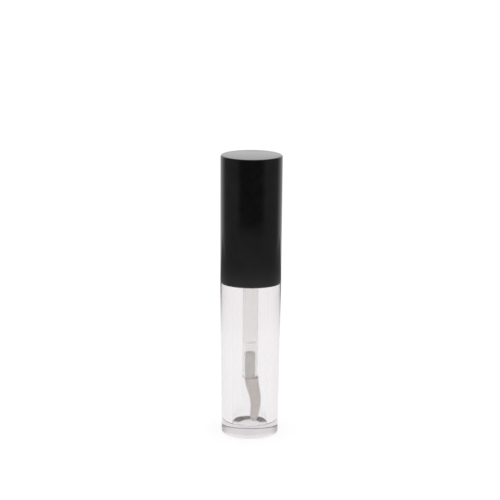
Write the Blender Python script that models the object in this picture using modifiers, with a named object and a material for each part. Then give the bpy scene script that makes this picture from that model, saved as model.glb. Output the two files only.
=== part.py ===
"""Lip gloss tube: a clear bottle with a wiper in its neck, and a screw cap that carries a doe-foot wand.

Units are metres and +Z is up. The origin is the middle of the bottle's foot, on the axis of the tube.
Every turned piece is an outline in the XZ plane, swept round Z. The cap assembly is screwed home.
"""
from math import cos, pi, radians, sin, tan

import bmesh
import bpy
from mathutils import Vector

MM = 0.001

# Whole tube
TOTAL_HEIGHT = 78.5 * MM
CAP_BOTTOM = 43.2 * MM  # the cap's open edge, above the foot
SEAM_GAP = 0.1 * MM  # between the cap's edge and the bottle's shoulder
FIT_GAP = 0.15 * MM  # between pieces that are pressed together

# Bottle
BODY_RADIUS_TOP = 8.4 * MM
BODY_RADIUS_FOOT = 7.88 * MM
FOOT_ROUND = 0.2 * MM
FLOOR_HEIGHT = 2.5 * MM
FLOOR_FLAT_RADIUS = 2.8 * MM
FLOOR_FLAT_ROUND = 1.5 * MM
FLOOR_EDGE_HEIGHT = 3.1 * MM
FLOOR_ROUND = 0.3 * MM
BORE_RADIUS_FOOT = 5.0 * MM  # the bore narrows slightly from the neck down
NECK_RADIUS = 5.95 * MM
NECK_BORE_RADIUS = 5.1 * MM
NECK_TOP = 53.7 * MM

# Screw thread: two starts, right-handed
THREAD_LEAD = 6.0 * MM
THREAD_STARTS = 2
THREAD_TURNS = 1.2
THREAD_BASE = 45.2 * MM
NECK_BEAD = 0.55 * MM  # radius of the rounded thread on the neck
CAP_BEAD = 0.5 * MM  # radius of the rounded thread in the cap
THREAD_STEPS_PER_TURN = 24

# Outer cap
CAP_RADIUS_TOP = 8.5 * MM
CAP_RADIUS_BOTTOM = 8.41 * MM
CAP_WALL = 1.0 * MM
CAP_TOP_THICKNESS = 1.4 * MM
CAP_TOP_ROUND = 0.45 * MM

# Inner cap
LINER_RADIUS = 7.25 * MM
LINER_BORE_RADIUS = 6.65 * MM
LINER_UPPER_WALL = 0.9 * MM
WEB_BOTTOM = 56.1 * MM
WEB_THICKNESS = 1.2 * MM
SOCKET_RADIUS = 3.6 * MM
SOCKET_TOP = 65.6 * MM

# Wiper
WIPER_FLANGE_RADIUS = 5.8 * MM
WIPER_FLANGE_THICKNESS = 0.6 * MM
WIPER_WALL = 0.6 * MM
WIPER_CONE_TOP = 47.1 * MM
WIPER_TIP = 43.7 * MM
WIPER_LIP_HEIGHT = 0.5 * MM
WIPER_ORIFICE_RADIUS = 2.22 * MM

# Stem
STEM_RADIUS = 2.15 * MM
STEM_END = 15.8 * MM
STEM_BORE_RADIUS = 1.55 * MM
STEM_BORE_TOP = 26.0 * MM
COLLAR_RADIUS = 4.6 * MM
COLLAR_THICKNESS = 1.2 * MM
HEAD_RADIUS = 2.5 * MM

# Applicator: a shank in the stem's bore, then a paddle that swings out to +X
SHANK_RADIUS = 1.4 * MM
SHANK_TOP = 23.2 * MM
TIP_TOP = 15.6 * MM
TIP_END = 3.05 * MM
TIP_TOP_OFFSET = 0.45 * MM
TIP_MIDDLE_OFFSET = 1.6 * MM
TIP_END_OFFSET = 1.15 * MM
TIP_BEND_SHARE = 0.56  # where along the tip it swings out furthest
PADDLE_END_COVER = 0.8 * MM  # flock below the paddle's end
PADDLE_SHARE = 0.55  # the paddle's radius as a share of the flock's
FLOCK_DEPTH = 1.1  # how much deeper the tip is, front to back, than wide

FINE_SEGMENTS = 40
STEM_SEGMENTS = 32
SMALL_ROUND = 0.5 * MM
SMALL_ROUND_STEPS = 2  # edges in a rounded corner of this size or less
LARGE_ROUND_STEPS = 5
MERGE = 1e-7


def empty_scene():
    for thing in list(bpy.data.objects):
        bpy.data.objects.remove(thing, do_unlink=True)


def new_collection(name):
    collection = bpy.data.collections.new(name)
    bpy.context.scene.collection.children.link(collection)
    return collection


def material(name, color, roughness, transmission=0.0):
    made = bpy.data.materials.new(name)
    made.use_nodes = True
    shader = made.node_tree.nodes["Principled BSDF"]
    shader.inputs["Base Color"].default_value = (*color, 1.0)
    shader.inputs["Roughness"].default_value = roughness
    shader.inputs["Metallic"].default_value = 0.0
    shader.inputs["Transmission Weight"].default_value = transmission
    return made


def rounded(corners, closed=False):
    """The points of an outline. A corner is (radius, height) or (radius, height, rounding)."""
    points = []
    count = len(corners)
    for index, corner in enumerate(corners):
        at = Vector(corner[:2])
        rounding = corner[2] if len(corner) > 2 else 0.0
        is_end = not closed and index in (0, count - 1)
        if is_end or not rounding:
            points.append(at)
            continue
        back = (Vector(corners[index - 1][:2]) - at).normalized()
        ahead = (Vector(corners[(index + 1) % count][:2]) - at).normalized()
        half_angle = back.angle(ahead) / 2
        reach = rounding / tan(half_angle)
        centre = at + (back + ahead).normalized() * rounding / sin(half_angle)
        first = at + back * reach - centre
        last = at + ahead * reach - centre
        turn = first.angle_signed(last)
        steps = SMALL_ROUND_STEPS if rounding <= SMALL_ROUND else LARGE_ROUND_STEPS
        for step in range(steps + 1):
            angle = -turn * step / steps
            x = first.x * cos(angle) - first.y * sin(angle)
            y = first.x * sin(angle) + first.y * cos(angle)
            points.append(centre + Vector((x, y)))
    return points


def turned(name, corners, collection, closed=False, segments=FINE_SEGMENTS):
    """A piece swept round Z. Its outline's outer side runs from top to bottom."""
    points = rounded(corners, closed)
    edges = [(i, i + 1) for i in range(len(points) - 1)]
    if closed:
        edges.append((len(points) - 1, 0))
    mesh = bpy.data.meshes.new(name)
    mesh.from_pydata([(p.x, 0.0, p.y) for p in points], edges, [])
    piece = bpy.data.objects.new(name, mesh)
    collection.objects.link(piece)
    screw = piece.modifiers.new("turn", "SCREW")
    screw.axis = "Z"
    screw.angle = 2 * pi
    screw.steps = segments
    screw.render_steps = segments
    screw.use_merge_vertices = True
    screw.merge_threshold = MERGE
    return piece


def swept(name, points, radii, collection, sides=8):
    """A closed round bar of changing radius along points, as a mesh."""
    data = bpy.data.curves.new(name, "CURVE")
    data.dimensions = "3D"
    data.bevel_depth = 1.0
    data.bevel_resolution = sides // 2 - 2
    data.use_fill_caps = True
    spline = data.splines.new("POLY")
    spline.points.add(len(points) - 1)
    for target, point, radius in zip(spline.points, points, radii):
        target.co = (*point, 1.0)
        target.radius = radius
    guide = bpy.data.objects.new(name + "_guide", data)
    collection.objects.link(guide)
    evaluated = guide.evaluated_get(bpy.context.evaluated_depsgraph_get())
    mesh = bpy.data.meshes.new_from_object(evaluated)
    mesh.name = name
    loose = bmesh.new()
    loose.from_mesh(mesh)
    bmesh.ops.remove_doubles(loose, verts=loose.verts, dist=MERGE)
    bmesh.ops.recalc_face_normals(loose, faces=loose.faces)
    loose.to_mesh(mesh)
    loose.free()
    piece = bpy.data.objects.new(name, mesh)
    piece.matrix_world = guide.matrix_world
    collection.objects.link(piece)
    bpy.data.objects.remove(guide, do_unlink=True)
    return piece


def as_cutter(piece):
    piece.hide_render = True
    piece.display_type = "WIRE"
    return piece


def combine(piece, operand, operation):
    boolean = piece.modifiers.new(operation.lower(), "BOOLEAN")
    boolean.operation = operation
    boolean.solver = "EXACT"
    boolean.object = operand


def finish(piece, made_of):
    piece.data.materials.clear()
    piece.data.materials.append(made_of)
    piece.data.shade_smooth()
    piece.data.set_sharp_from_angle(angle=radians(35))


def thread_bead(name, radius, bead, start_angle, collection):
    """One start of a thread: a round bead on a helix, with run-outs at both ends."""
    steps = round(THREAD_TURNS * THREAD_STEPS_PER_TURN)
    points = []
    radii = []
    for step in range(steps + 1):
        turn = step / THREAD_STEPS_PER_TURN
        angle = start_angle + 2 * pi * turn
        height = THREAD_BASE + THREAD_LEAD * turn
        points.append((radius * cos(angle), radius * sin(angle), height))
        from_end = min(step, steps - step) / 3
        radii.append(bead * min(1.0, 0.4 + 0.6 * from_end))
    return as_cutter(swept(name, points, radii, collection))


def add_thread(piece, radius, bead, first_angle, cutters):
    for start in range(THREAD_STARTS):
        angle = first_angle + 2 * pi * start / THREAD_STARTS
        name = f"{piece.name}_thread_{start + 1}"
        combine(piece, thread_bead(name, radius, bead, angle, cutters), "UNION")


def make_bottle(parts, cutters):
    shoulder = CAP_BOTTOM - SEAM_GAP
    bottle = turned("bottle", [
        (0.0, FLOOR_HEIGHT),
        (FLOOR_FLAT_RADIUS, FLOOR_HEIGHT, FLOOR_FLAT_ROUND),
        (BORE_RADIUS_FOOT, FLOOR_EDGE_HEIGHT, FLOOR_ROUND),
        (NECK_BORE_RADIUS, shoulder),
        (NECK_BORE_RADIUS, NECK_TOP),
        (NECK_RADIUS, NECK_TOP, 0.25 * MM),
        (NECK_RADIUS, shoulder),
        (BODY_RADIUS_TOP, shoulder, 0.12 * MM),
        (BODY_RADIUS_FOOT, 0.0, FOOT_ROUND),
        (0.0, 0.0),
    ], parts)
    add_thread(bottle, NECK_RADIUS, NECK_BEAD, 0.0, cutters)
    finish(bottle, material("clear_plastic", (0.95, 0.96, 0.96), 0.03, 1.0))


def make_wiper(parts):
    flange_bottom = NECK_TOP + FIT_GAP
    flange_top = flange_bottom + WIPER_FLANGE_THICKNESS
    sleeve = NECK_BORE_RADIUS - FIT_GAP
    inside = sleeve - WIPER_WALL
    lip = WIPER_ORIFICE_RADIUS + WIPER_WALL
    wiper = turned("wiper", [
        (WIPER_FLANGE_RADIUS, flange_top, 0.15 * MM),
        (WIPER_FLANGE_RADIUS, flange_bottom),
        (sleeve, flange_bottom),
        (sleeve, WIPER_CONE_TOP),
        (lip, WIPER_TIP, 0.15 * MM),
        (WIPER_ORIFICE_RADIUS, WIPER_TIP),
        (WIPER_ORIFICE_RADIUS, WIPER_TIP + WIPER_LIP_HEIGHT),
        (inside, WIPER_CONE_TOP + WIPER_LIP_HEIGHT),
        (inside, flange_top),
    ], parts, closed=True)
    finish(wiper, material("soft_white_plastic", (0.86, 0.86, 0.84), 0.45))


def make_outer_cap(parts):
    ceiling = TOTAL_HEIGHT - CAP_TOP_THICKNESS
    outer_cap = turned("outer_cap", [
        (0.0, TOTAL_HEIGHT),
        (CAP_RADIUS_TOP, TOTAL_HEIGHT, CAP_TOP_ROUND),
        (CAP_RADIUS_BOTTOM, CAP_BOTTOM, 0.15 * MM),
        (CAP_RADIUS_BOTTOM - CAP_WALL, CAP_BOTTOM),
        (CAP_RADIUS_TOP - CAP_WALL, ceiling),
        (0.0, ceiling),
    ], parts)
    finish(outer_cap, material("gloss_black_plastic", (0.008, 0.008, 0.009), 0.12))


def make_inner_cap(parts, cutters):
    top = TOTAL_HEIGHT - CAP_TOP_THICKNESS - 2 * FIT_GAP
    bottom = CAP_BOTTOM + 2 * FIT_GAP
    web_top = WEB_BOTTOM + WEB_THICKNESS
    socket = HEAD_RADIUS + FIT_GAP
    inner_cap = turned("inner_cap", [
        (LINER_RADIUS, top, 0.3 * MM),
        (LINER_RADIUS, bottom),
        (LINER_BORE_RADIUS, bottom),
        (LINER_BORE_RADIUS, WEB_BOTTOM),
        (socket, WEB_BOTTOM),
        (socket, SOCKET_TOP),
        (SOCKET_RADIUS, SOCKET_TOP),
        (SOCKET_RADIUS, web_top),
        (LINER_RADIUS - LINER_UPPER_WALL, web_top),
        (LINER_RADIUS - LINER_UPPER_WALL, top),
    ], parts, closed=True)
    half_way_between_starts = pi / THREAD_STARTS
    add_thread(inner_cap, LINER_BORE_RADIUS, CAP_BEAD, half_way_between_starts, cutters)
    finish(inner_cap, material("natural_white_plastic", (0.78, 0.78, 0.76), 0.4))


def make_stem(parts):
    collar_top = WEB_BOTTOM - FIT_GAP
    collar_bottom = collar_top - COLLAR_THICKNESS
    stem = turned("stem", [
        (0.0, SOCKET_TOP - FIT_GAP),
        (HEAD_RADIUS, SOCKET_TOP - FIT_GAP, 0.4 * MM),
        (HEAD_RADIUS, collar_top),
        (COLLAR_RADIUS, collar_top),
        (COLLAR_RADIUS, collar_bottom),
        (STEM_RADIUS, collar_bottom),
        (STEM_RADIUS, STEM_END, 0.15 * MM),
        (STEM_BORE_RADIUS, STEM_END),
        (STEM_BORE_RADIUS, STEM_BORE_TOP, 0.3 * MM),
        (0.0, STEM_BORE_TOP),
    ], parts, segments=STEM_SEGMENTS)
    finish(stem, material("translucent_plastic", (0.88, 0.88, 0.86), 0.35, 0.5))


def ease(share):
    """Goes smoothly from 0 to 1 as share does."""
    return (1.0 - cos(pi * min(max(share, 0.0), 1.0))) / 2


def tip_swing(share):
    """Sideways offset of the tip's centre line, from its top (0) to its end (1)."""
    out = (TIP_MIDDLE_OFFSET - TIP_TOP_OFFSET) * ease(share / TIP_BEND_SHARE)
    back = (TIP_MIDDLE_OFFSET - TIP_END_OFFSET) * ease((share - TIP_BEND_SHARE) / (1 - TIP_BEND_SHARE))
    return TIP_TOP_OFFSET + out - back


def tip_radius(share):
    """Half-width of the flocked tip along its length, down to a rounded end."""
    straight = 2.02 * MM - 0.9 * MM * share
    end_share = max(share - 0.86, 0.0) / (1.0 - 0.86)
    return straight * (1.0 - end_share ** 2.4) ** 0.5


def tip_stations(top, end, count):
    """Shares of the tip's length between two heights, closer together towards the end."""
    length = TIP_TOP - TIP_END
    first = (TIP_TOP - top) / length
    last = (TIP_TOP - end) / length
    return [first + (last - first) * sin(step / count * pi / 2) for step in range(count + 1)]


def tip_point(share):
    return (tip_swing(share), 0.0, TIP_TOP - (TIP_TOP - TIP_END) * share)


def core_line(grow, shank_top, paddle_end):
    """Centre line and radii of the moulded core, larger by grow where it is to cut its own seat."""
    stations = tip_stations(TIP_TOP - 1.2 * MM, paddle_end, 10)
    points = [(0.0, 0.0, shank_top), (0.0, 0.0, shank_top - 0.45 * MM), (0.0, 0.0, TIP_TOP)]
    radii = [SHANK_RADIUS - 0.55 * MM, SHANK_RADIUS, SHANK_RADIUS]
    points += [tip_point(share) for share in stations]
    full = [tip_radius(share) * PADDLE_SHARE for share in stations]
    radii += full[:-1] + [full[-1] * 0.5]
    return points, [radius + grow for radius in radii]


def deepen(piece):
    """Makes a tip shape deeper from front to back than it is wide."""
    for vertex in piece.data.vertices:
        if vertex.co.z < TIP_TOP:
            vertex.co.y *= FLOCK_DEPTH


def make_applicator(parts, cutters):
    paddle_end = TIP_END + PADDLE_END_COVER
    core = swept("applicator_core", *core_line(0.0, SHANK_TOP, paddle_end), parts, sides=12)
    deepen(core)
    finish(core, material("grey_moulded_plastic", (0.62, 0.63, 0.58), 0.4))

    stations = tip_stations(TIP_TOP, TIP_END, 14)
    radii = [max(tip_radius(share), 0.12 * MM) for share in stations]
    flock = swept("flock_coat", [tip_point(s) for s in stations], radii, parts, sides=12)
    deepen(flock)
    seat_line = core_line(0.1 * MM, SHANK_TOP, paddle_end - 0.1 * MM)
    seat = as_cutter(swept("flock_seat", *seat_line, cutters, sides=12))
    deepen(seat)
    combine(flock, seat, "DIFFERENCE")
    finish(flock, material("grey_flock", (0.55, 0.53, 0.5), 0.95))


def main():
    empty_scene()
    parts = new_collection("lip_gloss_tube")
    cutters = new_collection("cutters")
    make_bottle(parts, cutters)
    make_wiper(parts)
    make_outer_cap(parts)
    make_inner_cap(parts, cutters)
    make_stem(parts)
    make_applicator(parts, cutters)


main()
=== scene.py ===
"""Looks for the lip gloss tube: a clear bottle, a gloss black cap and a flocked doe-foot wand.

Every CAD node is shown by a finely turned or lofted piece of the same size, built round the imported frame.
"""
import random
from math import cos, pi, radians, sin, sqrt, tan

import bmesh
import bpy
from mathutils import Matrix, Vector


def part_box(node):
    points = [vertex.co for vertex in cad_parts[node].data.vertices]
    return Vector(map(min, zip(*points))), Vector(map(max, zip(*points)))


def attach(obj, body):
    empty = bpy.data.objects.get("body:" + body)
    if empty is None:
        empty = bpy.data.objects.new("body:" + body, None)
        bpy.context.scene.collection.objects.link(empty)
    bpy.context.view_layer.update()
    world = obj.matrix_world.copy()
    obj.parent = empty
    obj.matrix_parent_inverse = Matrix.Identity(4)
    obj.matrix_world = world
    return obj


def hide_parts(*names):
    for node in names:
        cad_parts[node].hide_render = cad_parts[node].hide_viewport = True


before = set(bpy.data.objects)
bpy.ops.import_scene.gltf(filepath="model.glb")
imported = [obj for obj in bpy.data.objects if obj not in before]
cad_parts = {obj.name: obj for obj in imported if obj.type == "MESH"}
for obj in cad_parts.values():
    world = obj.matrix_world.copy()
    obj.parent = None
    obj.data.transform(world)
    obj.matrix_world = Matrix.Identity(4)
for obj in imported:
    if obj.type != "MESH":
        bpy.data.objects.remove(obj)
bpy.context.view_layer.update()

MM = 0.001

# Read from the frame
CAP_LOW, CAP_HIGH = (Vector(corner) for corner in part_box("outer_cap"))
BOTTLE_HIGH = Vector(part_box("bottle")[1])
LINER_LOW, LINER_HIGH = (Vector(corner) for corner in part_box("inner_cap"))
WIPER_LOW, WIPER_HIGH = (Vector(corner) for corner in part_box("wiper"))
STEM_LOW, STEM_HIGH = (Vector(corner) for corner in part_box("stem"))
CORE_HIGH = Vector(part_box("applicator_core")[1])
FLOCK_LOW, FLOCK_HIGH = (Vector(corner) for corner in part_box("flock_coat"))

# Bottle
BODY_RADIUS_FOOT = 7.88 * MM
FOOT_ROUND = 0.2 * MM
FLOOR_HEIGHT = 2.5 * MM
FLOOR_FLAT_RADIUS = 2.8 * MM
FLOOR_FLAT_ROUND = 1.5 * MM
FLOOR_EDGE_HEIGHT = 3.1 * MM
FLOOR_ROUND = 0.3 * MM
BORE_RADIUS_FOOT = 5.0 * MM
SHOULDER = CAP_LOW.z - 0.1 * MM
NECK_RADIUS = 5.95 * MM
NECK_BORE_RADIUS = 5.1 * MM

# Thread
THREAD_LEAD = 6.0 * MM
THREAD_STARTS = 2
THREAD_TURNS = 1.2
THREAD_BASE = 45.2 * MM
NECK_BEAD = 0.55 * MM
CAP_BEAD = 0.5 * MM
THREAD_STEP = 0.1 * MM  # height between the rings that a thread is drawn with
THREAD_RUN_OUT = 0.12  # turns over which a thread rises from the wall

# Caps
CAP_RADIUS_BOTTOM = CAP_HIGH.x - 0.09 * MM
CAP_WALL = 1.0 * MM
CAP_TOP_THICKNESS = 1.4 * MM
LINER_RADIUS = 7.25 * MM
LINER_BORE_RADIUS = 6.65 * MM
LINER_UPPER_WALL = 0.9 * MM
WEB_BOTTOM = 56.1 * MM
WEB_TOP = 57.3 * MM
SOCKET_BORE_RADIUS = 2.65 * MM
SOCKET_RADIUS = 3.6 * MM
SOCKET_TOP = 65.6 * MM

# Wiper
WIPER_SLEEVE_RADIUS = NECK_BORE_RADIUS - 0.15 * MM
WIPER_WALL = 0.6 * MM
WIPER_CONE_TOP = 47.1 * MM
WIPER_ORIFICE_RADIUS = 2.22 * MM

# Wand
STEM_RADIUS = 2.15 * MM
STEM_BORE_RADIUS = 1.55 * MM
STEM_BORE_TOP = 26.0 * MM
COLLAR_RADIUS = STEM_HIGH.x
COLLAR_TOP = WEB_BOTTOM - 0.15 * MM
COLLAR_THICKNESS = 1.2 * MM
HEAD_RADIUS = 2.5 * MM
SHANK_RADIUS = 1.4 * MM
TIP_TOP = FLOCK_HIGH.z
TIP_END = FLOCK_LOW.z
TIP_TOP_OFFSET = 0.45 * MM
TIP_MIDDLE_OFFSET = 1.6 * MM
TIP_END_OFFSET = 1.15 * MM
TIP_BEND_SHARE = 0.56
FLOCK_DEPTH = 1.1
PADDLE_SHARE = 0.55
FIBRE_LENGTH = 0.34 * MM
FIBRE_RADIUS = 0.022 * MM
FIBRES = 9000

# How finely round shapes are drawn
SEGMENTS = 180
ROUND_STEP = radians(9)

# Finishes
CLEAR_IOR = 1.57
CLEAR_TINT_LOW = (0.975, 0.975, 0.975)
CLEAR_TINT_HIGH = (0.995, 0.995, 0.995)
PLASTIC_GREYNESS = 22.0  # light lost per metre in the clear plastic
PLASTIC_CAST = (0.16, 0.0, 0.06)  # what the clear plastic spares of that light: a little pink
WAND_IOR = 1.18  # lower than the real plastic's, for soft edges
WAND_ROUGHNESS = 0.22
WAND_TRANSMISSION = 0.95
CLEARER = (0.97, 0.97, 0.965)
MILKIER = (1.0, 1.0, 0.995)
# painted shade: a slightly darker tint multiplied into the colour of the stem's solid part
SOLID_PAINTED_SHADE = (0.93, 0.915, 0.905)

# Studio, as brightness where 1 is white
FLOOR_REACH = 4.0
FLOOR_DROP = 0.05 * MM  # keeps the floor just clear of the foot
FLOOR_GREY = (0.3, 0.3, 0.3)
FLOOR_GLOW = 0.72
MIRRORED_FLOOR_RADIUS = 0.18
FRONT_LIGHT = 0.01
LOW_FRONT_LIGHT = 0.22
SIDE_LIGHT = 0.2
LOW_SIDE_LIGHT = 0.42
LOW_BACK_LIGHT = 0.75
BACK_LIGHT = 1.15
HIGH_BACK_LIGHT = 0.95
FILL_LIGHT = 1.14
BACKDROP = 1.0
LIGHT_BOUNCES = 32  # light is caught for long in the clear base

# Camera, fitted to the photograph's viewing angle
CAMERA_DISTANCE = 0.486
CAMERA_TARGET_HEIGHT = 37.9 * MM
CAMERA_ELEVATION = radians(14.486)
CAMERA_PITCH = radians(12.873)
CAMERA_ROLL = radians(0.419)
CAMERA_YAW = radians(0.032)
SENSOR = 36.0
LENS = 126.2


def ease(share):
    """Goes smoothly from 0 to 1 as share does."""
    return (1.0 - cos(pi * min(max(share, 0.0), 1.0))) / 2


# ---------------------------------------------------------------- shapes

def rounded(corners, closed=False):
    """The points of an outline. A corner is (radius, height) or (radius, height, rounding)."""
    points = []
    count = len(corners)
    for index, corner in enumerate(corners):
        at = Vector(corner[:2])
        rounding = corner[2] if len(corner) > 2 else 0.0
        is_end = not closed and index in (0, count - 1)
        if is_end or not rounding:
            points.append(at)
            continue
        back = (Vector(corners[index - 1][:2]) - at).normalized()
        ahead = (Vector(corners[(index + 1) % count][:2]) - at).normalized()
        half_angle = back.angle(ahead) / 2
        reach = rounding / tan(half_angle)
        centre = at + (back + ahead).normalized() * rounding / sin(half_angle)
        first = at + back * reach - centre
        last = at + ahead * reach - centre
        turn = first.angle_signed(last)
        steps = max(3, round(abs(turn) / ROUND_STEP))
        for step in range(steps + 1):
            angle = -turn * step / steps
            x = first.x * cos(angle) - first.y * sin(angle)
            y = first.x * sin(angle) + first.y * cos(angle)
            points.append(centre + Vector((x, y)))
    return points


def divided(points, longest):
    """The same outline with no edge longer than that."""
    out = [points[0]]
    for start, end in zip(points, points[1:]):
        steps = max(1, round((end - start).length / longest))
        out += [start.lerp(end, step / steps) for step in range(1, steps + 1)]
    return out


def new_piece(name, vertices, faces, body, nodes, slot, finish, sharp=radians(40)):
    """A shown piece that rides on a body and stands for CAD nodes."""
    mesh = bpy.data.meshes.new(name)
    mesh.from_pydata(vertices, [], faces)
    outward = bmesh.new()
    outward.from_mesh(mesh)
    bmesh.ops.recalc_face_normals(outward, faces=outward.faces)
    outward.to_mesh(mesh)
    outward.free()
    mesh.materials.append(finish)
    mesh.shade_smooth()
    mesh.set_sharp_from_angle(angle=sharp)
    piece = bpy.data.objects.new(name, mesh)
    bpy.context.scene.collection.objects.link(piece)
    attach(piece, body)
    if nodes:
        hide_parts(*nodes)
    return piece


def turned(points, closed=False, shift=None):
    """(vertices, faces) of an outline swept round Z. shift(angle, point) moves the wall outward."""
    vertices = []
    rings = []
    for point in points:
        if point.x < 1e-7:
            rings.append([len(vertices)])
            vertices.append((0.0, 0.0, point.y))
            continue
        rings.append(list(range(len(vertices), len(vertices) + SEGMENTS)))
        for step in range(SEGMENTS):
            angle = 2 * pi * step / SEGMENTS
            radius = point.x + (shift(angle, point) if shift else 0.0)
            vertices.append((radius * cos(angle), radius * sin(angle), point.y))
    faces = []
    pairs = list(zip(rings, rings[1:]))
    if closed:
        pairs.append((rings[-1], rings[0]))
    for a, b in pairs:
        for step in range(SEGMENTS):
            after = (step + 1) % SEGMENTS
            if len(a) == 1:
                faces.append((a[0], b[step], b[after]))
            elif len(b) == 1:
                faces.append((a[step], b[0], a[after]))
            else:
                faces.append((a[step], b[step], b[after], a[after]))
    return vertices, faces


def thread_height(angle, height, first_angle, bead):
    """How far a thread stands out of its wall at this angle and height."""
    best = 0.0
    for start in range(THREAD_STARTS):
        begin = first_angle + 2 * pi * start / THREAD_STARTS
        lead_in = ((angle - begin) / (2 * pi)) % 1.0
        for whole in range(int(THREAD_TURNS) + 1):
            turn = lead_in + whole
            if turn > THREAD_TURNS:
                continue
            size = bead * ease(min(turn, THREAD_TURNS - turn) / THREAD_RUN_OUT)
            away = abs(height - THREAD_BASE - THREAD_LEAD * turn)
            if away < size:
                best = max(best, sqrt(size * size - away * away))
    return best


def lofted(stations, sides=48):
    """(vertices, faces) of a closed bar through (centre, half-width, half-depth) stations."""
    vertices = []
    rings = []
    for index, (centre, width, depth) in enumerate(stations):
        before = stations[max(index - 1, 0)][0]
        after = stations[min(index + 1, len(stations) - 1)][0]
        along = (after - before).normalized()
        across = along.cross(Vector((0.0, 1.0, 0.0))).normalized()
        rings.append(list(range(len(vertices), len(vertices) + sides)))
        for step in range(sides):
            angle = 2 * pi * step / sides
            point = centre + across * width * cos(angle) + Vector((0.0, depth * sin(angle), 0.0))
            vertices.append(tuple(point))
    faces = [tuple(rings[0]), tuple(rings[-1])]
    for a, b in zip(rings, rings[1:]):
        for step in range(sides):
            after = (step + 1) % sides
            faces.append((a[step], a[after], b[after], b[step]))
    return vertices, faces


# ---------------------------------------------------------------- materials

def new_material(name):
    made = bpy.data.materials.new(name)
    made.use_nodes = True
    return made, made.node_tree.nodes, made.node_tree.links, made.node_tree.nodes["Principled BSDF"]


def noise(nodes, links, scale, detail=3.0, stretch=(1.0, 1.0, 1.0)):
    """Noise in the piece's own space, in features per metre."""
    coordinates = nodes.new("ShaderNodeTexCoord")
    mapping = nodes.new("ShaderNodeMapping")
    mapping.inputs["Scale"].default_value = stretch
    texture = nodes.new("ShaderNodeTexNoise")
    texture.inputs["Scale"].default_value = scale
    texture.inputs["Detail"].default_value = detail
    links.new(coordinates.outputs["Object"], mapping.inputs["Vector"])
    links.new(mapping.outputs["Vector"], texture.inputs["Vector"])
    return texture.outputs["Fac"]


def ramp(nodes, links, value, low, high, start=0.3, end=0.7):
    """Two colours blended by a value."""
    made = nodes.new("ShaderNodeValToRGB")
    made.color_ramp.elements[0].position = start
    made.color_ramp.elements[1].position = end
    made.color_ramp.elements[0].color = (*low, 1.0)
    made.color_ramp.elements[1].color = (*high, 1.0)
    links.new(value, made.inputs["Fac"])
    return made.outputs["Color"]


def spread(nodes, links, value, low, high):
    """A value from 0 to 1 mapped to a range."""
    made = nodes.new("ShaderNodeMapRange")
    made.inputs["To Min"].default_value = low
    made.inputs["To Max"].default_value = high
    links.new(value, made.inputs["Value"])
    return made.outputs["Result"]


def bump(nodes, links, shader, value, depth):
    made = nodes.new("ShaderNodeBump")
    made.inputs["Strength"].default_value = 1.0
    made.inputs["Distance"].default_value = depth
    links.new(value, made.inputs["Height"])
    links.new(made.outputs["Normal"], shader.inputs["Normal"])


def clear_plastic():
    made, nodes, links, shader = new_material("clear_plastic")
    shader.inputs["Transmission Weight"].default_value = 1.0
    shader.inputs["Roughness"].default_value = 0.0
    shader.inputs["IOR"].default_value = CLEAR_IOR
    tint = noise(nodes, links, 90.0)
    links.new(ramp(nodes, links, tint, CLEAR_TINT_LOW, CLEAR_TINT_HIGH), shader.inputs["Base Color"])
    absorption = nodes.new("ShaderNodeVolumeAbsorption")
    absorption.inputs["Color"].default_value = (*PLASTIC_CAST, 1.0)
    absorption.inputs["Density"].default_value = PLASTIC_GREYNESS
    links.new(absorption.outputs["Volume"], nodes["Material Output"].inputs["Volume"])
    waviness = noise(nodes, links, 120.0, 1.0, (1.0, 1.0, 0.25))
    bump(nodes, links, shader, waviness, 0.01 * MM)
    return made


def gloss_black():
    made, nodes, links, shader = new_material("gloss_black_plastic")
    mottle = noise(nodes, links, 300.0)
    links.new(ramp(nodes, links, mottle, (0.0035, 0.0035, 0.004), (0.006, 0.006, 0.0065)),
              shader.inputs["Base Color"])
    handling = noise(nodes, links, 140.0, 5.0, (1.0, 1.0, 0.4))
    links.new(spread(nodes, links, handling, 0.05, 0.12), shader.inputs["Roughness"])
    shader.inputs["IOR"].default_value = 1.5
    orange_peel = noise(nodes, links, 900.0, 2.0)
    bump(nodes, links, shader, orange_peel, 0.0015 * MM)
    return made


def milky_plastic(name, low, high, roughness, transmission):
    """Natural polyolefin, slightly cloudy, with a satin moulded skin."""
    made, nodes, links, shader = new_material(name)
    cloud = noise(nodes, links, 220.0)
    links.new(ramp(nodes, links, cloud, low, high), shader.inputs["Base Color"])
    shader.inputs["Transmission Weight"].default_value = transmission
    shader.inputs["IOR"].default_value = 1.49
    skin = noise(nodes, links, 1500.0, 3.0)
    links.new(spread(nodes, links, skin, roughness - 0.05, roughness + 0.05), shader.inputs["Roughness"])
    grain = noise(nodes, links, 2500.0, 2.0)
    bump(nodes, links, shader, grain, 0.004 * MM)
    return made


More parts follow.
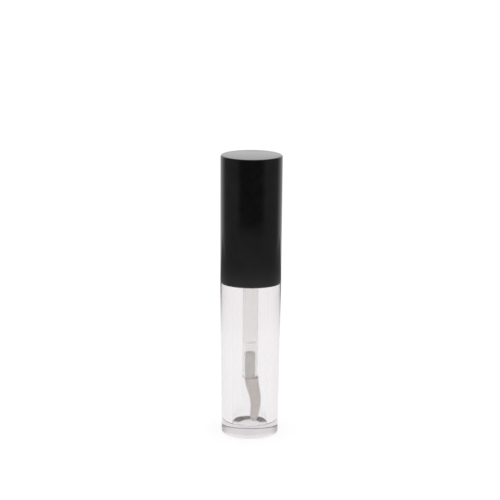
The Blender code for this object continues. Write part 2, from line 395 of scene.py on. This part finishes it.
def wand_plastic():
    """The wand's natural plastic, slightly clouded. Where the stem is solid its colour is darkened a little,
    a painted shade for the light that passes less through the thick part; the thin bored end is left lighter.
    """
    made = milky_plastic("translucent_plastic", CLEARER, MILKIER, WAND_ROUGHNESS, WAND_TRANSMISSION)
    nodes = made.node_tree.nodes
    links = made.node_tree.links
    shader = nodes["Principled BSDF"]
    shader.inputs["IOR"].default_value = WAND_IOR
    cloud = shader.inputs["Base Color"].links[0].from_socket
    coordinates = nodes.new("ShaderNodeTexCoord")
    split = nodes.new("ShaderNodeSeparateXYZ")
    links.new(coordinates.outputs["Object"], split.inputs["Vector"])
    # painted shade: above the bore's top, where the stem is solid, its colour is multiplied darker
    solid = between(nodes, links, split.outputs["Z"], STEM_BORE_TOP - 0.2 * MM, STEM_BORE_TOP + 0.4 * MM)
    solid_shade = nodes.new("ShaderNodeMix")
    solid_shade.data_type = "RGBA"
    solid_shade.blend_type = "MULTIPLY"
    solid_shade.inputs["B"].default_value = (*SOLID_PAINTED_SHADE, 1.0)
    links.new(solid, solid_shade.inputs["Factor"])
    links.new(cloud, solid_shade.inputs["A"])
    links.new(solid_shade.outputs["Result"], shader.inputs["Base Color"])
    return made


def flock_fibre():
    made, nodes, links, shader = new_material("grey_flock")
    tone = noise(nodes, links, 2600.0, 2.0)
    links.new(ramp(nodes, links, tone, (0.76, 0.71, 0.67), (0.97, 0.91, 0.87)), shader.inputs["Base Color"])
    shader.inputs["Roughness"].default_value = 0.8
    shader.inputs["Sheen Weight"].default_value = 0.5
    shader.inputs["Sheen Roughness"].default_value = 0.5
    nap = noise(nodes, links, 9000.0, 2.0)
    bump(nodes, links, shader, nap, 0.03 * MM)
    return made


# ---------------------------------------------------------------- pieces

def make_bottle():
    neck_ends = [Vector((NECK_RADIUS, BOTTLE_HIGH.z - 0.3 * MM)), Vector((NECK_RADIUS, SHOULDER))]
    neck = divided(neck_ends, THREAD_STEP)
    inside = rounded([
        (0.0, FLOOR_HEIGHT),
        (FLOOR_FLAT_RADIUS, FLOOR_HEIGHT, FLOOR_FLAT_ROUND),
        (BORE_RADIUS_FOOT, FLOOR_EDGE_HEIGHT, FLOOR_ROUND),
        (NECK_BORE_RADIUS, SHOULDER),
        (NECK_BORE_RADIUS, BOTTLE_HIGH.z, 0.15 * MM),
        (NECK_RADIUS, BOTTLE_HIGH.z, 0.25 * MM),
        (NECK_RADIUS, BOTTLE_HIGH.z - 0.3 * MM),
    ])
    outside = rounded([
        (NECK_RADIUS, SHOULDER),
        (BOTTLE_HIGH.x, SHOULDER, 0.12 * MM),
        (BODY_RADIUS_FOOT, 0.0, FOOT_ROUND),
        (0.0, 0.0),
    ])

    def neck_thread(angle, point):
        if abs(point.x - NECK_RADIUS) > 1e-6:
            return 0.0
        return thread_height(angle, point.y, 0.0, NECK_BEAD)

    outline = inside[:-1] + neck[:-1] + outside
    new_piece("clear_bottle", *turned(outline, shift=neck_thread), "bottle", ["bottle"],
              "clear_plastic", clear_plastic())


def make_wiper():
    inside = WIPER_SLEEVE_RADIUS - WIPER_WALL
    flange_bottom = WIPER_HIGH.z - 0.6 * MM
    lip_height = 0.5 * MM
    outline = rounded([
        (WIPER_HIGH.x, WIPER_HIGH.z, 0.2 * MM),
        (WIPER_HIGH.x, flange_bottom, 0.15 * MM),
        (WIPER_SLEEVE_RADIUS, flange_bottom),
        (WIPER_SLEEVE_RADIUS, WIPER_CONE_TOP, 0.5 * MM),
        (WIPER_ORIFICE_RADIUS + WIPER_WALL, WIPER_LOW.z, 0.15 * MM),
        (WIPER_ORIFICE_RADIUS, WIPER_LOW.z, 0.1 * MM),
        (WIPER_ORIFICE_RADIUS, WIPER_LOW.z + lip_height, 0.1 * MM),
        (inside, WIPER_CONE_TOP + lip_height, 0.5 * MM),
        (inside, WIPER_HIGH.z, 0.2 * MM),
    ], closed=True)
    soft = milky_plastic("soft_white_plastic", (0.78, 0.78, 0.76), (0.86, 0.86, 0.84), 0.42, 0.15)
    new_piece("wiper_insert", *turned(outline, closed=True), "wiper", ["wiper"], "soft_white_plastic", soft)


def make_outer_cap():
    ceiling = CAP_HIGH.z - CAP_TOP_THICKNESS
    outline = rounded([
        (0.0, CAP_HIGH.z),
        (CAP_HIGH.x, CAP_HIGH.z, 0.45 * MM),
        (CAP_RADIUS_BOTTOM, CAP_LOW.z, 0.15 * MM),
        (CAP_RADIUS_BOTTOM - CAP_WALL, CAP_LOW.z, 0.2 * MM),
        (CAP_HIGH.x - CAP_WALL, ceiling, 0.4 * MM),
        (0.0, ceiling),
    ])
    new_piece("black_cap_shell", *turned(outline), "cap", ["outer_cap"], "gloss_black_plastic", gloss_black())


def make_inner_cap(finish):
    bore_ends = [Vector((LINER_BORE_RADIUS, LINER_LOW.z)), Vector((LINER_BORE_RADIUS, WEB_BOTTOM))]
    bore = divided(bore_ends, THREAD_STEP)
    above = rounded([
        (LINER_BORE_RADIUS, WEB_BOTTOM),
        (SOCKET_BORE_RADIUS, WEB_BOTTOM),
        (SOCKET_BORE_RADIUS, SOCKET_TOP, 0.2 * MM),
        (SOCKET_RADIUS, SOCKET_TOP, 0.2 * MM),
        (SOCKET_RADIUS, WEB_TOP, 0.4 * MM),
        (LINER_RADIUS - LINER_UPPER_WALL, WEB_TOP, 0.4 * MM),
        (LINER_RADIUS - LINER_UPPER_WALL, LINER_HIGH.z, 0.2 * MM),
        (LINER_RADIUS, LINER_HIGH.z, 0.3 * MM),
        (LINER_RADIUS, LINER_LOW.z),
    ])

    def bore_thread(angle, point):
        if abs(point.x - LINER_BORE_RADIUS) > 1e-6:
            return 0.0
        return -thread_height(angle, point.y, pi / THREAD_STARTS, CAP_BEAD)

    outline = bore[:-1] + above
    new_piece("threaded_liner", *turned(outline, closed=True, shift=bore_thread), "cap", ["inner_cap"],
              "natural_white_plastic", finish)


def make_stem():
    outline = rounded([
        (0.0, STEM_HIGH.z),
        (HEAD_RADIUS, STEM_HIGH.z, 0.5 * MM),
        (HEAD_RADIUS, COLLAR_TOP, 0.2 * MM),
        (COLLAR_RADIUS, COLLAR_TOP, 0.2 * MM),
        (COLLAR_RADIUS, COLLAR_TOP - COLLAR_THICKNESS, 0.2 * MM),
        (STEM_RADIUS, COLLAR_TOP - COLLAR_THICKNESS, 0.3 * MM),
        (STEM_RADIUS, STEM_LOW.z, 0.2 * MM),
        (STEM_BORE_RADIUS, STEM_LOW.z, 0.1 * MM),
        (STEM_BORE_RADIUS, STEM_BORE_TOP, 0.3 * MM),
        (0.0, STEM_BORE_TOP),
    ])
    new_piece("wand_stem", *turned(outline), "cap", ["stem"], "translucent_plastic", wand_plastic())


def tip_swing(share):
    """Sideways offset of the tip's centre line, from its top (0) to its end (1)."""
    out = (TIP_MIDDLE_OFFSET - TIP_TOP_OFFSET) * ease(share / TIP_BEND_SHARE)
    back = (TIP_MIDDLE_OFFSET - TIP_END_OFFSET) * ease((share - TIP_BEND_SHARE) / (1 - TIP_BEND_SHARE))
    return TIP_TOP_OFFSET + out - back


def tip_radius(share):
    """Half-width of the flocked tip along its length, down to a rounded end."""
    straight = 2.02 * MM - 0.9 * MM * share
    end_share = max(share - 0.86, 0.0) / (1.0 - 0.86)
    return straight * (1.0 - end_share ** 2.4) ** 0.5


def tip_centre(share):
    return Vector((tip_swing(share), 0.0, TIP_TOP - (TIP_TOP - TIP_END) * share))


def tip_stations(first, last, count, shrink):
    """Stations of the tip's shape between two shares of its length, smaller all round by shrink."""
    out = []
    for step in range(count + 1):
        share = first + (last - first) * sin(step / count * pi / 2)
        radius = max(tip_radius(share) - shrink, 0.08 * MM)
        out.append((tip_centre(share), radius, radius * FLOCK_DEPTH))
    return out


def make_core():
    shank = [(CORE_HIGH.z, 0.55), (CORE_HIGH.z - 0.12 * MM, 0.8), (CORE_HIGH.z - 0.35 * MM, 0.95)]
    shank += [(CORE_HIGH.z - 0.6 * MM, 1.0), (19.1 * MM, 1.0), (TIP_TOP + 0.1 * MM, 1.0)]
    stations = [(Vector((0.0, 0.0, z)), SHANK_RADIUS * k, SHANK_RADIUS * k) for z, k in shank]
    for share in [0.1 + 0.84 * step / 16 for step in range(17)]:
        radius = tip_radius(share) * PADDLE_SHARE
        stations.append((tip_centre(share), radius, radius * FLOCK_DEPTH))
    finish = milky_plastic("grey_moulded_plastic", (0.94, 0.92, 0.88), (0.98, 0.96, 0.92), 0.45, 0.0)
    new_piece("applicator_shank", *lofted(stations), "cap", ["applicator_core"],
              "grey_moulded_plastic", finish)


def make_flock():
    """The flock's dense nap as a solid, and its outermost fibres one by one."""
    finish = flock_fibre()
    stations = tip_stations(0.0, 1.0, 40, FIBRE_LENGTH * 0.6)
    nap = new_piece("flocked_tip", *lofted(stations), "cap", ["flock_coat"], "grey_flock", finish)
    surface = bmesh.new()
    surface.from_mesh(nap.data)
    bmesh.ops.triangulate(surface, faces=surface.faces)
    faces = list(surface.faces)
    pick = random.Random(11)
    chosen = pick.choices(faces, weights=[face.calc_area() for face in faces], k=FIBRES)
    vertices = []
    sides = []
    for face in chosen:
        a, b, c = (vertex.co for vertex in face.verts)
        u, v = sorted((pick.random(), pick.random()))
        root = a * u + b * (v - u) + c * (1 - v)
        lean = Vector((pick.gauss(0, 0.35), pick.gauss(0, 0.35), pick.gauss(0, 0.35)))
        along = (face.normal + lean).normalized()
        tip = root + along * FIBRE_LENGTH * pick.uniform(0.55, 0.95)
        across = along.orthogonal().normalized()
        first = len(vertices)
        for side in range(3):
            spoke = Matrix.Rotation(2 * pi * side / 3, 3, along) @ across
            vertices.append(tuple(root - along * 0.05 * MM + spoke * FIBRE_RADIUS))
        vertices.append(tuple(tip))
        sides += [(first, first + 1, first + 3), (first + 1, first + 2, first + 3),
                  (first + 2, first, first + 3), (first, first + 2, first + 1)]
    surface.free()
    new_piece("flock_fibres", vertices, sides, "cap", [], "grey_flock", finish)


# ---------------------------------------------------------------- studio

def stage_plane(name, corners, color, emission=0.0):
    mesh = bpy.data.meshes.new(name)
    mesh.from_pydata(corners, [], [tuple(range(len(corners)))])
    plane = bpy.data.objects.new(name, mesh)
    bpy.context.scene.collection.objects.link(plane)
    made, _, _, shader = new_material(name)
    shader.inputs["Base Color"].default_value = (*color, 1.0)
    shader.inputs["Roughness"].default_value = 0.9
    shader.inputs["Specular IOR Level"].default_value = 0.0
    shader.inputs["Emission Color"].default_value = (1.0, 1.0, 1.0, 1.0)
    shader.inputs["Emission Strength"].default_value = emission
    mesh.materials.append(made)
    return plane


def make_floor():
    """A pale, evenly lit sheet. In mirror reflections only the part close to the tube shows."""
    reach = FLOOR_REACH
    below = -FLOOR_DROP
    floor = stage_plane("pale_floor", [
        (-reach, -reach, below), (reach, -reach, below), (reach, reach, below), (-reach, reach, below),
    ], FLOOR_GREY, emission=FLOOR_GLOW)
    floor.visible_glossy = False
    reach = MIRRORED_FLOOR_RADIUS
    mirrored = stage_plane("mirrored_floor", [
        (-reach, -reach, below), (reach, -reach, below), (reach, reach, below), (-reach, reach, below),
    ], (0.0, 0.0, 0.0), emission=1.0)
    mirrored.visible_camera = False
    mirrored.visible_diffuse = False
    mirrored.visible_transmission = False
    mirrored.visible_shadow = False
    fade_out(mirrored.active_material, 0.5 * reach, reach)


def fade_out(made, start, end):
    """Fades a plane's glow with distance from the middle of its own space, down to the light round it."""
    nodes, links = made.node_tree.nodes, made.node_tree.links
    place = nodes.new("ShaderNodeTexCoord")
    distance = nodes.new("ShaderNodeVectorMath")
    distance.operation = "LENGTH"
    links.new(place.outputs["Object"], distance.inputs[0])
    close = between(nodes, links, distance.outputs["Value"], end, start)
    glow = mixed(nodes, links, close, LOW_FRONT_LIGHT, 1.0)
    links.new(glow, nodes["Principled BSDF"].inputs["Emission Strength"])


def between(nodes, links, value, low, high):
    """Rises smoothly from 0 at low to 1 at high."""
    made = nodes.new("ShaderNodeMapRange")
    made.interpolation_type = "SMOOTHSTEP"
    made.inputs["From Min"].default_value = low
    made.inputs["From Max"].default_value = high
    links.new(value, made.inputs["Value"])
    return made.outputs["Result"]


def mixed(nodes, links, share, low, high):
    """low where share is 0 and high where it is 1. Either may be a number or a socket."""
    made = nodes.new("ShaderNodeMix")
    made.data_type = "FLOAT"
    links.new(share, made.inputs["Factor"])
    for socket, value in ((made.inputs["A"], low), (made.inputs["B"], high)):
        if isinstance(value, float):
            socket.default_value = value
        else:
            links.new(value, socket)
    return made.outputs["Result"]


def make_studio_light():
    """A soft studio: bright behind the object, dim at the sides and dark where the camera stands.

    That is what mirror reflections show. Light that comes through the clear plastic finds pale walls low down
    on every side, so the base reads as clear from all round. Scattered light is even, and the camera sees a
    white backdrop.
    """
    world = bpy.data.worlds.new("studio")
    bpy.context.scene.world = world
    world.use_nodes = True
    nodes, links = world.node_tree.nodes, world.node_tree.links
    direction = nodes.new("ShaderNodeTexCoord")
    split = nodes.new("ShaderNodeSeparateXYZ")
    links.new(direction.outputs["Generated"], split.inputs["Vector"])
    toward_back, up = split.outputs["Y"], split.outputs["Z"]
    low_front = between(nodes, links, up, -0.22, -0.232)
    front = mixed(nodes, links, low_front, FRONT_LIGHT, LOW_FRONT_LIGHT)
    sides = mixed(nodes, links, between(nodes, links, toward_back, -0.85, -0.5), front, SIDE_LIGHT)
    low_back = mixed(nodes, links, between(nodes, links, up, 0.05, 0.15), LOW_BACK_LIGHT, BACK_LIGHT)
    back = mixed(nodes, links, between(nodes, links, up, 0.24, 0.3), low_back, HIGH_BACK_LIGHT)
    behind = between(nodes, links, toward_back, 0.3, 0.8)
    reflected = mixed(nodes, links, behind, sides, back)
    in_front = between(nodes, links, toward_back, -0.5, -0.8)
    low_walls = mixed(nodes, links, in_front, LOW_SIDE_LIGHT, LOW_BACK_LIGHT)
    walls = mixed(nodes, links, between(nodes, links, up, 0.6, 0.45), sides, low_walls)
    refracted = mixed(nodes, links, behind, walls, back)
    path = nodes.new("ShaderNodeLightPath")
    shaped = mixed(nodes, links, path.outputs["Is Transmission Ray"], reflected, refracted)
    scattered = between(nodes, links, path.outputs["Diffuse Depth"], 0.0, 1.0)
    lit = mixed(nodes, links, scattered, shaped, FILL_LIGHT)
    whole = mixed(nodes, links, path.outputs["Is Camera Ray"], lit, BACKDROP)
    links.new(whole, nodes["Background"].inputs["Color"])
    nodes["Background"].inputs["Strength"].default_value = 1.0
    bpy.context.scene.view_settings.view_transform = "Standard"
    paths = bpy.context.scene.cycles
    paths.max_bounces = LIGHT_BOUNCES
    paths.glossy_bounces = LIGHT_BOUNCES
    paths.transmission_bounces = LIGHT_BOUNCES


def make_camera():
    data = bpy.data.cameras.new("camera")
    data.sensor_width = SENSOR
    data.lens = LENS
    data.clip_start = 0.01
    camera = bpy.data.objects.new("camera", data)
    bpy.context.scene.collection.objects.link(camera)
    target = Vector((0.0, 0.0, CAMERA_TARGET_HEIGHT))
    out = Vector((0.0, -cos(CAMERA_ELEVATION), sin(CAMERA_ELEVATION)))
    level = cos(CAMERA_PITCH)
    forward = Vector((-sin(CAMERA_YAW) * level, cos(CAMERA_YAW) * level, -sin(CAMERA_PITCH)))
    right = Vector((cos(CAMERA_YAW), sin(CAMERA_YAW), 0.0))
    up = right.cross(forward)
    rolled_right = right * cos(CAMERA_ROLL) + up * sin(CAMERA_ROLL)
    rolled_up = up * cos(CAMERA_ROLL) - right * sin(CAMERA_ROLL)
    turn = Matrix((rolled_right, rolled_up, -forward)).transposed()
    camera.matrix_world = Matrix.LocRotScale(target + out * CAMERA_DISTANCE, turn.to_quaternion(), None)
    bpy.context.scene.camera = camera


def main():
    make_camera()
    make_floor()
    make_studio_light()
    make_bottle()
    make_wiper()
    make_outer_cap()
    make_inner_cap(milky_plastic("natural_white_plastic", (0.7, 0.7, 0.68), (0.78, 0.78, 0.76), 0.4, 0.1))
    make_stem()
    make_core()
    make_flock()


main()
